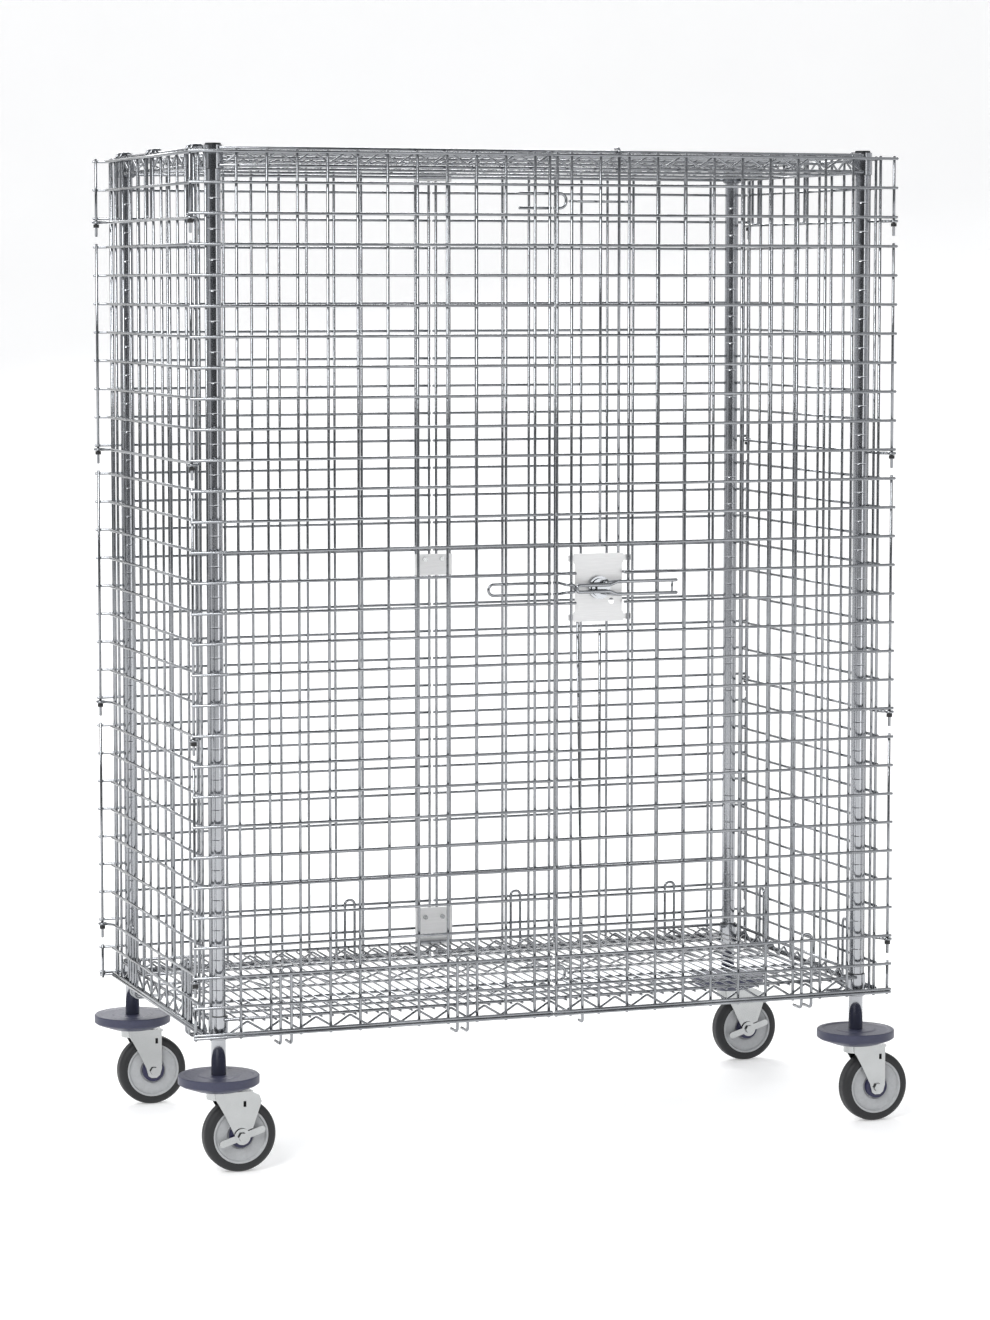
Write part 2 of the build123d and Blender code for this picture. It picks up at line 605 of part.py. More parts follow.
with BuildPart() as latch_handle:
    add(bent_wire(handle_points, 4.0, HANDLE_D))
    with Locations(handle_point(HANDLE_RIGHT - 9.0, 0)):
        Cylinder(2.0, 2 * HANDLE_WIDE)
    for rise in SIDES:
        leg = [
            handle_point(4.0, rise * 9.5, LEG_Y - WELD_GAP),
            handle_point(4.0, rise * 9.5, HANDLE_Y + 1.0),
            handle_point(34.0, rise * (HANDLE_WIDE + 1), HANDLE_Y + 1.0),
        ]
        add(bent_wire(leg, 6.0, 5.0))
save(latch_handle, "latch_handle")

with BuildPart() as latch_hub:
    for radius, back, front in HUB_STEPS:
        with BuildSketch(Plane.XZ.offset(-(FRONT_Y + back))):
            with Locations(LATCH):
                Circle(radius)
        extrude(amount=back - front)
    with BuildSketch(Plane.XZ.offset(-(CRANK_Y - 0.01))):
        with Locations(LATCH):
            Circle(SPINDLE_R)
    extrude(amount=CRANK_Y - 0.01 - FRONT_Y)
    with Locations(*[handle_point(4.0, rise * 9.5, LEG_Y) for rise in SIDES]):
        Cylinder(2.5 + WELD_GAP, 20, rotation=(90, 0, 0), mode=Mode.SUBTRACT, align=FROM_BASE)
save(latch_hub, "latch_hub")

with BuildPart() as latch_crank:
    with BuildSketch(Plane.XZ.offset(-(CRANK_Y + CRANK_T))):
        with Locations(LATCH):
            SlotCenterToCenter(2 * CRANK_R, 13.0)
            Circle(11.0)
            with Locations((-CRANK_R, 0), (CRANK_R, 0)):
                Circle(3.0, mode=Mode.SUBTRACT)
    extrude(amount=CRANK_T)
save(latch_crank, "latch_crank")

UPPER_ROD_X = LATCH[0] + CRANK_R
LOWER_ROD_X = LATCH[0] - CRANK_R
ROD_LEAN = 12.0              # the lower rod's foot stands further right than its head

with BuildPart() as upper_rod:
    upper_points = [
        (UPPER_ROD_X, ROD_Y, LATCH[1] - 5.0),
        (UPPER_ROD_X, ROD_Y, ROD_TOP_Z),
        (UPPER_ROD_X, ROD_Y + ROD_REACH, ROD_TOP_Z),
    ]
    add(bent_wire(upper_points, 6.0))
save(upper_rod, "upper_rod")

with BuildPart() as lower_rod:
    lower_points = [
        (LOWER_ROD_X, ROD_Y, LATCH[1] + 5.0),
        (LOWER_ROD_X + ROD_LEAN, ROD_Y, ROD_BOTTOM_Z),
        (LOWER_ROD_X + ROD_LEAN, ROD_Y + ROD_REACH, ROD_BOTTOM_Z),
    ]
    add(bent_wire(lower_points, 6.0))
save(lower_rod, "lower_rod")

GUIDE_Y = ROD_Y + CROSS + FREE
GUIDE_WIRE_D = 4.6
GUIDE_ENDS = (EDGE_X + 0.5 * COLUMN_PITCH - 4.0, EDGE_X + 2.5 * COLUMN_PITCH + 6.0)
GUIDE_DROPS = (79.0, 1423.0)

with BuildPart() as rod_guides:
    seat_y = FRONT_Y + (WIRE_D + GUIDE_WIRE_D) / 2 + WELD_GAP
    left_end, right_end = [at_x(1, distance) for distance in GUIDE_ENDS]
    for drop in GUIDE_DROPS:
        z = TOP_ROW_Z - drop
        guide_points = [
            (left_end, seat_y, z),
            (left_end + 9.0, seat_y, z),
            (left_end + 16.0, GUIDE_Y, z),
            (right_end - 16.0, GUIDE_Y, z),
            (right_end - 9.0, seat_y, z),
            (right_end, seat_y, z),
        ]
        add(bent_wire(guide_points, 4.0, GUIDE_WIRE_D))
save(rod_guides, "rod_guides")

# ---- bumpers ----------------------------------------------------------------------------------
BUMPER_TOP_Z = 169.6
BUMPER_WALL_H = 17.0
BUMPER_BASE_Z = 143.4
BUMPER_BASE_R = 40.0
BUMPER_BORE_R = POST_D / 2 + 0.05

with BuildPart() as bumpers:
    with BuildSketch(Plane.XZ) as bumper_section:
        with BuildLine():
            Polyline(
                (BUMPER_BORE_R, BUMPER_BASE_Z),
                (BUMPER_BASE_R, BUMPER_BASE_Z),
                (BUMPER_D / 2 - 4.0, BUMPER_TOP_Z - BUMPER_WALL_H),
                (BUMPER_D / 2, BUMPER_TOP_Z - BUMPER_WALL_H + 3.0),
                (BUMPER_D / 2, BUMPER_TOP_Z - 1.5),
                (BUMPER_D / 2 - 1.5, BUMPER_TOP_Z),
                (BUMPER_D / 2 - 8.0, BUMPER_TOP_Z),
                (BUMPER_D / 2 - 12.0, BUMPER_TOP_Z - 1.2),
                (38.0, BUMPER_TOP_Z - 1.2),
                (34.0, BUMPER_TOP_Z),
                (BUMPER_BORE_R, BUMPER_TOP_Z),
                close=True,
            )
        make_face()
    one_bumper = revolve(axis=Axis.Z, mode=Mode.PRIVATE)
    with Locations(*POST_CORNERS):
        add(one_bumper)
save(bumpers, "bumpers")

# ---- casters -------------------------------------------------------------------------------------
STEM_R = POST_D / 2 - POST_WALL - 0.05
STEM_TOP_Z = 250.0
STEM_FLANGE_Z = 141.0        # underside of the stem's flange, which turns on the fork
STEM_FLANGE_R = 19.0
CROWN_TOP_Z = STEM_FLANGE_Z - FREE
CROWN_T = 4.0
LEG_T = 3.0
LEG_INNER_Y = WHEEL_WIDTH / 2 + 3.0
LEG_OUTER_Y = LEG_INNER_Y + LEG_T
NECK_R = LEG_OUTER_Y
AXLE_R = 4.0
PIVOT_R = 5.0
RING_R = 48.5
CENTRE_R = 20.0
BOLT_HEAD_R = 7.8
BOLT_HEAD_H = 5.0
BOLT_END = 7.0
LEVER_T = 3.0
LEVER_LENGTH = 84.0
LEVER_RING_R = 14.0
LEVER_TILT = 17.0
CORNER_NAMES = {
    "front_left": (-1, -1),
    "front_right": (1, -1),
    "rear_left": (-1, 1),
    "rear_right": (1, 1),
}
BRAKED = ("front_left", "rear_right")
NECK_DEPTH = 9.0
CROWN_FRONT = -12.0
CROWN_REAR = 52.0
LEG_TOP = CROWN_TOP_Z - WHEEL_R          # above the axle
LEG_FRONT = [
    (CROWN_FRONT, LEG_TOP),
    (CROWN_FRONT, 68.0),
    (4.0, 39.0),
    (20.0, 6.0),
    (24.0, -9.0),
    (30.0, -13.0),
]
PLAIN_LEG_REAR = [(40.0, -13.0), (46.0, -8.0), (49.6, 4.0), (49.6, LEG_TOP)]
BRAKED_LEG_REAR = [
    (40.0, -13.0),
    (46.0, -8.0),
    (57.0, 21.0),
    (70.0, 59.0),
    (66.0, 70.0),
    (CROWN_REAR, LEG_TOP),
]

with BuildPart() as caster_stems:
    with Locations(*[(x, y, STEM_FLANGE_Z) for x, y in POST_CORNERS]):
        Cylinder(STEM_FLANGE_R, BUMPER_BASE_Z - STEM_FLANGE_Z - 0.02, align=FROM_BASE)
        Cylinder(STEM_R, STEM_TOP_Z - STEM_FLANGE_Z, align=FROM_BASE)
        Cylinder(PIVOT_R, CROWN_T + 6.0, align=(Align.CENTER, Align.CENTER, Align.MAX))
save(caster_stems, "caster_stems")


def caster(name, side, end):
    """Write the fork, axle and wheel pieces of one caster."""
    axis_x = at_x(side, POST_X)
    axis_y = end * POST_Y
    axle = (axis_x + TRAIL, WHEEL_R)
    leg_rear = BRAKED_LEG_REAR if name in BRAKED else PLAIN_LEG_REAR
    leg_outline = LEG_FRONT + leg_rear

    with BuildPart() as fork:
        with BuildSketch(Plane.XY.offset(CROWN_TOP_Z - CROWN_T)):
            with Locations((axis_x, axis_y)):
                Circle(NECK_R)
            with Locations((axis_x + (CROWN_REAR + CROWN_FRONT) / 2, axis_y)):
                Rectangle(CROWN_REAR - CROWN_FRONT, 2 * LEG_OUTER_Y)
            with Locations((axis_x, axis_y)):
                Circle(PIVOT_R + 0.08, mode=Mode.SUBTRACT)
        extrude(amount=CROWN_T)
        for leg in SIDES:
            with BuildSketch(Plane.XZ.offset(-(axis_y + leg * LEG_INNER_Y))):
                with BuildLine():
                    Polyline(*[(axis_x + run, axle[1] + rise) for run, rise in leg_outline], close=True)
                make_face()
                with Locations(axle):
                    Circle(AXLE_R + 0.02, mode=Mode.SUBTRACT)
                with Locations((axis_x + 40.0, axle[1] + 56.0)):
                    Rectangle(5.0, 10.0, mode=Mode.SUBTRACT)
            extrude(amount=-leg * LEG_T)
        with BuildSketch(Plane.XY.offset(CROWN_TOP_Z - CROWN_T - NECK_DEPTH)):
            with Locations((axis_x, axis_y)):
                Circle(NECK_R)
                Circle(NECK_R - LEG_T, mode=Mode.SUBTRACT)
            with Locations((axis_x + 4.0, axis_y)):
                Rectangle(60, 60, align=(Align.MIN, Align.CENTER), mode=Mode.SUBTRACT)
        extrude(amount=NECK_DEPTH)
    save(fork, f"fork_{name}")

    lever_space = LEVER_T + 2 * FREE if name in BRAKED else WELD_GAP
    with BuildPart() as axle_bolt:
        with BuildSketch(Plane.XZ.offset(-(axis_y - LEG_OUTER_Y - lever_space))):
            with Locations(axle):
                RegularPolygon(BOLT_HEAD_R, 6)
        extrude(amount=BOLT_HEAD_H)
        with BuildSketch(Plane.XZ.offset(-(axis_y - LEG_OUTER_Y - lever_space))):
            with Locations(axle):
                Circle(AXLE_R)
        extrude(amount=-(2 * LEG_OUTER_Y + lever_space + BOLT_END))
        with BuildSketch(Plane.XZ.offset(-(axis_y + LEG_OUTER_Y + WELD_GAP))):
            with Locations(axle):
                RegularPolygon(BOLT_HEAD_R, 6)
        extrude(amount=-BOLT_HEAD_H)
    save(axle_bolt, f"axle_bolt_{name}")

    with BuildPart() as tyre:
        with BuildSketch(Plane((axle[0], axis_y, axle[1]), x_dir=(1, 0, 0), z_dir=(0, 0, 1))):
            with Locations((0, 0)):
                RectangleRounded(2 * WHEEL_R, WHEEL_WIDTH, 9.0)
            Rectangle(2 * RING_R, WHEEL_WIDTH + 2, mode=Mode.SUBTRACT)
            with Locations((-WHEEL_R, 0)):
                Rectangle(2 * WHEEL_R, WHEEL_WIDTH + 2, mode=Mode.SUBTRACT)
        revolve(axis=Axis((axle[0], axis_y, axle[1]), (0, 1, 0)))
    save(tyre, f"tyre_{name}")

    rim_half = WHEEL_WIDTH / 2 - 0.3
    with BuildPart() as wheel_core:
        with BuildSketch(Plane((axle[0], axis_y, axle[1]), x_dir=(1, 0, 0), z_dir=(0, 0, 1))):
            with BuildLine():
                Polyline(
                    (AXLE_R + 2.1, -9.0),
                    (CENTRE_R + 0.5, -9.0),
                    (CENTRE_R + 4.0, -11.5),
                    (RING_R - 5.0, -11.5),
                    (RING_R - 3.0, -rim_half),
                    (RING_R - 0.05, -rim_half),
                    (RING_R - 0.05, rim_half),
                    (RING_R - 3.0, rim_half),
                    (RING_R - 5.0, 11.5),
                    (CENTRE_R + 4.0, 11.5),
                    (CENTRE_R + 0.5, 9.0),
                    (AXLE_R + 2.1, 9.0),
                    close=True,
                )
            make_face()
        revolve(axis=Axis((axle[0], axis_y, axle[1]), (0, 1, 0)))
    save(wheel_core, f"wheel_core_{name}")

    with BuildPart() as wheel_centre:
        for face in SIDES:
            with BuildSketch(Plane.XZ.offset(-(axis_y + face * 9.02))):
                with Locations(axle):
                    Circle(CENTRE_R)
                    Circle(AXLE_R + 0.06, mode=Mode.SUBTRACT)
            extrude(amount=-face * (LEG_INNER_Y - 9.02 - FREE))
        with BuildSketch(Plane.XZ.offset(-(axis_y + 9.02))):
            with Locations(axle):
                Circle(AXLE_R + 2.0)
                Circle(AXLE_R + 0.06, mode=Mode.SUBTRACT)
        extrude(amount=18.04)
    save(wheel_centre, f"wheel_centre_{name}")

    if name in BRAKED:
        with BuildPart() as brake_lever:
            with BuildSketch(Plane.XZ.offset(-(axis_y - LEG_OUTER_Y - FREE))):
                with Locations(Location((axle[0], axle[1]), LEVER_TILT)):
                    SlotOverall(LEVER_LENGTH, 12.0)
                with Locations(axle):
                    Circle(LEVER_RING_R)
                    Circle(AXLE_R + 0.08, mode=Mode.SUBTRACT)
            extrude(amount=LEVER_T)
        save(brake_lever, f"brake_lever_{name}")


for corner_name, (corner_side, corner_end) in CORNER_NAMES.items():
    caster(corner_name, corner_side, corner_end)
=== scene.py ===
import json
import math

import bmesh
import bpy
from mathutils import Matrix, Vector


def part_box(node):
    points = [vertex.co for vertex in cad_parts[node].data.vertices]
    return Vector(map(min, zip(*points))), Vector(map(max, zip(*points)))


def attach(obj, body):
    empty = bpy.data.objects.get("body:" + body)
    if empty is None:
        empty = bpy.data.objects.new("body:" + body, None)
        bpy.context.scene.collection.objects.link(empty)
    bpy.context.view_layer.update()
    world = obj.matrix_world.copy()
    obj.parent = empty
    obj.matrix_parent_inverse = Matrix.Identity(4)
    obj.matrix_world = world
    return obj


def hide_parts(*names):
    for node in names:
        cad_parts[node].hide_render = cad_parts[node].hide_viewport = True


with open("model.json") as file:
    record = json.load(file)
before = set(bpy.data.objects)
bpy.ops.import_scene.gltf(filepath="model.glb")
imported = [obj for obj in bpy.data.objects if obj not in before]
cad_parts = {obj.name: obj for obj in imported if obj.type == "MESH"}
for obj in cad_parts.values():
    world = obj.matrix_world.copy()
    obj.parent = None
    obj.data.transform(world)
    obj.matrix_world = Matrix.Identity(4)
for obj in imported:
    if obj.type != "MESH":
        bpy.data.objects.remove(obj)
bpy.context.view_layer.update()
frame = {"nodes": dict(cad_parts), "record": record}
nodes = frame["nodes"]
SIDES = (-1, 1)

# ---- dimensions of the cage, in metres ------------------------------------------
COLUMN_PITCH = 0.0532
ROW_PITCH = 0.0515
TOP_ROW_Z = 1.733
ROWS = 30
WIRE_D = 0.0052
RIM_D = 0.006
DECK_D = 0.0036
TRUSS_D = 0.004
ZIGZAG_BEND = 0.005
WELD_GAP = 0.00002
PIN_FREE = 0.0004
CROSS = WIRE_D + WELD_GAP
OVERHANG = 0.005
BEND = 0.006
TIGHT_BEND = 0.004

EDGE_X = 0.00705
HINGE_X = EDGE_X + 12 * COLUMN_PITCH
HINGE_ROWS = (2, 10, 19, 27)
FRONT_Y = -0.3213
REAR_Y = 0.3213
ROW_HEIGHTS = [TOP_ROW_Z - ROW_PITCH * row for row in range(ROWS)]
COLUMN_OFFSETS = [0, 0.5] + [column + 0.5 for column in range(1, 12)]
LEAF_TOP_Z = TOP_ROW_Z + OVERHANG
LEAF_BOTTOM_Z = ROW_HEIGHTS[-1] - OVERHANG

POST_R = 0.0127
POST_SPAN = (1.1948, 0.5838)
POST_X = POST_SPAN[0] / 2
POST_Y = POST_SPAN[1] / 2
posts_low, posts_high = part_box("posts")
CENTRE_X = (posts_low.x + posts_high.x) / 2
TOP_RIM_Z = 1.739
BOTTOM_RIM_Z = 0.266

LATCH_X = CENTRE_X + 0.0855
LATCH_Z = TOP_ROW_Z - 14.5 * ROW_PITCH


def at_x(side, distance):
    """Distance from the middle of the cage, to the left (-1) or the right (1)."""
    return CENTRE_X + side * distance


# ---- wires ----------------------------------------------------------------------
def rounded(points, bend, steps=5):
    """A path with every inner corner turned into an arc of this radius."""
    points = [Vector(p) for p in points]
    path = [points[0]]
    for before, corner, after in zip(points, points[1:], points[2:]):
        to_before = (before - corner).normalized()
        to_after = (after - corner).normalized()
        turn = to_before.angle(to_after)
        reach = bend / math.tan(turn / 2)
        reach = min(reach, 0.499 * (before - corner).length, 0.499 * (after - corner).length)
        radius = reach * math.tan(turn / 2)
        middle = corner + (to_before + to_after).normalized() * radius / math.sin(turn / 2)
        start = (corner + to_before * reach - middle).normalized()
        end = (corner + to_after * reach - middle).normalized()
        for step in range(steps + 1):
            path.append(middle + start.slerp(end, step / steps) * radius)
    path.append(points[-1])
    return path


def circle(sides):
    """The angles of the corners around one ring."""
    return [2 * math.pi * step / sides for step in range(sides)]


def join_rings(mesh, rings):
    """Close a row of equal rings into one smooth solid with flat ends."""
    sides = len(rings[0])
    for first, second in zip(rings, rings[1:]):
        for step in range(sides):
            following = (step + 1) % sides
            face = mesh.faces.new((first[step], first[following], second[following], second[step]))
            face.smooth = True
    mesh.faces.new(list(reversed(rings[0])))
    mesh.faces.new(rings[-1])


def add_tube(mesh, path, radius, sides=12):
    """Sweep a round wire with softened ends along a path."""
    path = [Vector(p) for p in path]
    tangents = []
    for index in range(len(path)):
        ahead = path[min(index + 1, len(path) - 1)] - path[max(index - 1, 0)]
        tangents.append(ahead.normalized())
    soften = radius * 0.3
    stations = [(path[0], tangents[0], radius - soften)]
    stations.append((path[0] + tangents[0] * soften, tangents[0], radius))
    stations += [(p, t, radius) for p, t in list(zip(path, tangents))[1:-1]]
    stations.append((path[-1] - tangents[-1] * soften, tangents[-1], radius))
    stations.append((path[-1], tangents[-1], radius - soften))

    up = Vector((0, 0, 1)) if abs(tangents[0].z) < 0.9 else Vector((1, 0, 0))
    normal = tangents[0].cross(up).normalized()
    previous = tangents[0]
    rings = []
    for centre, tangent, r in stations:
        normal = previous.rotation_difference(tangent) @ normal
        previous = tangent
        binormal = tangent.cross(normal)
        spokes = [normal * math.cos(angle) + binormal * math.sin(angle) for angle in circle(sides)]
        rings.append([mesh.verts.new(centre + spoke * r) for spoke in spokes])
    join_rings(mesh, rings)


def add_piece(name, mesh, body, material, replaced):
    """Turn a bmesh into an object that rides on a body, and hide the CAD node it takes the place of."""
    data = bpy.data.meshes.new(name)
    mesh.to_mesh(data)
    mesh.free()
    piece = bpy.data.objects.new(name, data)
    bpy.context.scene.collection.objects.link(piece)
    data.materials.append(material)
    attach(piece, body)
    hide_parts(replaced)


def wire_piece(name, wires, body, replaced):
    """One object made of chromed wires, each (path, diameter)."""
    mesh = bmesh.new()
    for path, diameter in wires:
        add_tube(mesh, path, diameter / 2)
    add_piece(name, mesh, body, MATERIALS["chrome"], replaced)


def upright(x, y, z_low, z_high, diameter=WIRE_D):
    return [(x, y, z_low), (x, y, z_high)], diameter


def along_x(y, z, x_low, x_high, diameter=WIRE_D):
    return [(x_low, y, z), (x_high, y, z)], diameter


def along_y(x, z, y_low, y_high, diameter=WIRE_D):
    return [(x, y_low, z), (x, y_high, z)], diameter


# ---- materials ------------------------------------------------------------------
def finish(name, color, metallic, roughness, spread, scale, bump=0.0, stretch=(1, 1, 1), tint=0.12):
    """A material whose colour and roughness drift over the surface.

    spread is how far the roughness drifts, scale is the size of the drift, stretch pulls
    it out along one way, and tint is how far the colour drifts, as a share of itself.
    """
    material = bpy.data.materials.new(name)
    material.use_nodes = True
    tree = material.node_tree
    shader = tree.nodes["Principled BSDF"]
    shader.inputs["Metallic"].default_value = metallic

    place = tree.nodes.new("ShaderNodeTexCoord")
    mapping = tree.nodes.new("ShaderNodeMapping")
    mapping.inputs["Scale"].default_value = stretch
    noise = tree.nodes.new("ShaderNodeTexNoise")
    noise.inputs["Scale"].default_value = scale
    noise.inputs["Detail"].default_value = 5
    tree.links.new(place.outputs["Object"], mapping.inputs["Vector"])
    tree.links.new(mapping.outputs["Vector"], noise.inputs["Vector"])

    ramp = tree.nodes.new("ShaderNodeValToRGB")
    darker, lighter = ramp.color_ramp.elements
    darker.position = 0.3
    darker.color = [c * (1 - tint) for c in color] + [1]
    lighter.position = 0.7
    lighter.color = [min(1, c * (1 + tint)) for c in color] + [1]
    tree.links.new(noise.outputs["Fac"], ramp.inputs["Fac"])
    tree.links.new(ramp.outputs["Color"], shader.inputs["Base Color"])

    drift = tree.nodes.new("ShaderNodeMapRange")
    drift.inputs["From Min"].default_value = 0.25
    drift.inputs["From Max"].default_value = 0.75
    drift.inputs["To Min"].default_value = roughness - spread
    drift.inputs["To Max"].default_value = roughness + spread
    tree.links.new(noise.outputs["Fac"], drift.inputs["Value"])
    tree.links.new(drift.outputs["Result"], shader.inputs["Roughness"])

    if bump:
        relief = tree.nodes.new("ShaderNodeBump")
        relief.inputs["Strength"].default_value = bump
        relief.inputs["Distance"].default_value = 0.0005
        tree.links.new(noise.outputs["Fac"], relief.inputs["Height"])
        tree.links.new(relief.outputs["Normal"], shader.inputs["Normal"])
    return material


MATERIALS = {
    "chrome": finish("chrome", (0.30, 0.31, 0.325), 1.0, 0.16, 0.05, 60, tint=0.1),
    "post_chrome": finish("post_chrome", (0.42, 0.43, 0.45), 1.0, 0.14, 0.03, 25, tint=0.05),
    "plate_steel": finish("plate_steel", (0.78, 0.78, 0.78), 0.85, 0.45, 0.05, 40, 0.1, (1, 1, 14), 0.04),
    "zinc": finish("zinc", (0.46, 0.47, 0.47), 1.0, 0.2, 0.04, 45, 0.05, tint=0.05),
    "black_plastic": finish("black_plastic", (0.012, 0.012, 0.013), 0.0, 0.42, 0.08, 300, 0.2),
    "bumper": finish("bumper", (0.040, 0.043, 0.080), 0.0, 0.42, 0.07, 220, 0.15, tint=0.1),
    "tyre": finish("tyre", (0.013, 0.0135, 0.015), 0.0, 0.55, 0.08, 160, 0.25, tint=0.15),
    "wheel_grey": finish("wheel_grey", (0.42, 0.43, 0.44), 0.0, 0.45, 0.06, 180, 0.15, tint=0.06),
    "wheel_blue": finish("wheel_blue", (0.018, 0.018, 0.06), 0.0, 0.38, 0.06, 180, 0.1, tint=0.12),
}
for subpart in frame["record"]["subparts"]:
    node = nodes[subpart["node"]]
    node.data.materials.clear()
    node.data.materials.append(MATERIALS[subpart["material_slot"]])
    for face in node.data.polygons:
        face.material_index = 0
nodes["shelf_collars"].data.materials[0] = MATERIALS["post_chrome"]


# ---- doors and rear half panels -------------------------------------------------
PIN_DROP = 0.033
STUB = 0.006


def hinge_edge(x, y):
    """The outermost upright, in lengths: the free lower end of each but the last is a hinge pin."""
    breaks = [LEAF_TOP_Z]
    for row in HINGE_ROWS:
        breaks.append(ROW_HEIGHTS[row] - PIN_DROP)
        breaks.append(ROW_HEIGHTS[row + 1] + STUB)
    breaks.append(LEAF_BOTTOM_Z)
    return [upright(x, y, low, high) for high, low in zip(breaks[::2], breaks[1::2])]


def leaf(side, y, row_y, skip_columns=(), skip_rows=()):
    """The mesh of one door or half panel, with its bottom row doubled."""
    wires = [
        upright(at_x(side, EDGE_X + offset * COLUMN_PITCH), y, LEAF_BOTTOM_Z, LEAF_TOP_Z)
        for column, offset in enumerate(COLUMN_OFFSETS)
        if column not in skip_columns
    ]
    wires += hinge_edge(at_x(side, HINGE_X), y)
    ends = sorted((at_x(side, EDGE_X - OVERHANG), at_x(side, HINGE_X + OVERHANG)))
    heights = [z for row, z in enumerate(ROW_HEIGHTS) if row not in skip_rows]
    heights.append(ROW_HEIGHTS[-1] + CROSS)
    wires += [along_x(row_y, z, *ends) for z in heights]
    return wires


PLATE_ROWS = (14, 15)
PLATE_COLUMN = 2
PLATE_HALF = 0.0465
PLATE_LAP = 0.002


def wires_cut_at_plate():
    """The upright and the two rows of the right door that the latch plate cuts in two."""
    x = at_x(1, EDGE_X + COLUMN_OFFSETS[PLATE_COLUMN] * COLUMN_PITCH)
    above = ROW_HEIGHTS[PLATE_ROWS[0] - 1] - OVERHANG
    below = ROW_HEIGHTS[PLATE_ROWS[1] + 1] + OVERHANG
    wires = [upright(x, FRONT_Y, above, LEAF_TOP_Z), upright(x, FRONT_Y, LEAF_BOTTOM_Z, below)]
    plate_left = LATCH_X - PLATE_HALF + PLATE_LAP
    plate_right = LATCH_X + PLATE_HALF - PLATE_LAP
    for row in PLATE_ROWS:
        z = ROW_HEIGHTS[row]
        wires.append(along_x(FRONT_Y - CROSS, z, at_x(1, EDGE_X - OVERHANG), plate_left))
        wires.append(along_x(FRONT_Y - CROSS, z, plate_right, at_x(1, HINGE_X + OVERHANG)))
    return wires


right_door_wires = leaf(1, FRONT_Y, FRONT_Y - CROSS, (PLATE_COLUMN,), PLATE_ROWS) + wires_cut_at_plate()
wire_piece("left_door_wires", leaf(-1, FRONT_Y, FRONT_Y - CROSS), "left_door", "left_door_panel")
wire_piece("right_door_wires", right_door_wires, "right_door", "right_door_panel")
wire_piece("rear_left_wires", leaf(-1, REAR_Y, REAR_Y + CROSS), "cage", "rear_left_panel")
wire_piece("rear_right_wires", leaf(1, REAR_Y, REAR_Y + CROSS), "cage", "rear_right_panel")

# ---- side panels ----------------------------------------------------------------
SIDE_INSET = 0.022
SIDE_X = HINGE_X - SIDE_INSET
SIDE_ROW_X = SIDE_X + CROSS
SIDE_HALF = 5.5 * COLUMN_PITCH
SIDE_REACH = SIDE_HALF + 0.0164
SIDE_COLUMN_OFFSETS = [-5.5] + list(range(-5, 6)) + [5.5]


def side_mesh(side):
    """One side panel without the rows that end in hinge eyes."""
    wires = [
        upright(at_x(side, SIDE_X), offset * COLUMN_PITCH, LEAF_BOTTOM_Z, LEAF_TOP_Z)
        for offset in SIDE_COLUMN_OFFSETS
    ]
    heights = [z for row, z in enumerate(ROW_HEIGHTS) if row not in HINGE_ROWS]
    heights.append(ROW_HEIGHTS[-1] + CROSS)
    wires += [along_y(at_x(side, SIDE_ROW_X), z, -SIDE_REACH, SIDE_REACH) for z in heights]
    return wires


wire_piece("left_side_wires", side_mesh(-1), "cage", "left_side_panel")
wire_piece("right_side_wires", side_mesh(1), "cage", "right_side_panel")

# ---- side panel wires that end in an eye around the hinge pins ------------------
EYE_R = WIRE_D + PIN_FREE
EYE_DROP = 0.007
EYE_CORNER_Y = SIDE_HALF + 0.0082


def eye(x, y, z):
    turns = circle(24) + [2 * math.pi]
    return [(x + EYE_R * math.cos(turn), y + EYE_R * math.sin(turn), z) for turn in turns], WIRE_D


def eye_row(side, z):
    """One side panel row that bends in at both ends, with its front and rear eyes."""
    row_x = at_x(side, SIDE_ROW_X)
    eye_x = at_x(side, HINGE_X)
    lean = math.atan2(EYE_CORNER_Y - REAR_Y, row_x - eye_x)
    ring_x = eye_x + EYE_R * math.cos(lean)
    ring_y = REAR_Y + EYE_R * math.sin(lean)
    path = [
        (ring_x, -ring_y, z),
        (row_x, -EYE_CORNER_Y, z),
        (row_x, EYE_CORNER_Y, z),
        (ring_x, ring_y, z),
    ]
    return [(rounded(path, BEND), WIRE_D), eye(eye_x, FRONT_Y, z), eye(eye_x, REAR_Y, z)]


eye_wires = []
for side in SIDES:
    for row in HINGE_ROWS:
        eye_wires += eye_row(side, ROW_HEIGHTS[row] - EYE_DROP)
wire_piece("hinge_eye_wires", eye_wires, "cage", "hinge_eyes")

# ---- hairpin hooks --------------------------------------------------------------
HOOK_LEG = 0.0096
HOOK_TOP_Z = TOP_ROW_Z - 1.38
HOOK_BOTTOM_Z = 0.22
HOOK_REACH = 0.034
HOOK_OUTER = EDGE_X + 9 * COLUMN_PITCH
HOOK_INNER = EDGE_X + 3 * COLUMN_PITCH
SIDE_HOOK_Y = 3.55 * COLUMN_PITCH
HANGER_LEG = 0.014
HANGER_TIP_Z = 1.735
HANGER_TIP_OUT = 0.007
HANGER_PLACES = (-4.47 * COLUMN_PITCH, 0.5 * COLUMN_PITCH, 4.47 * COLUMN_PITCH)


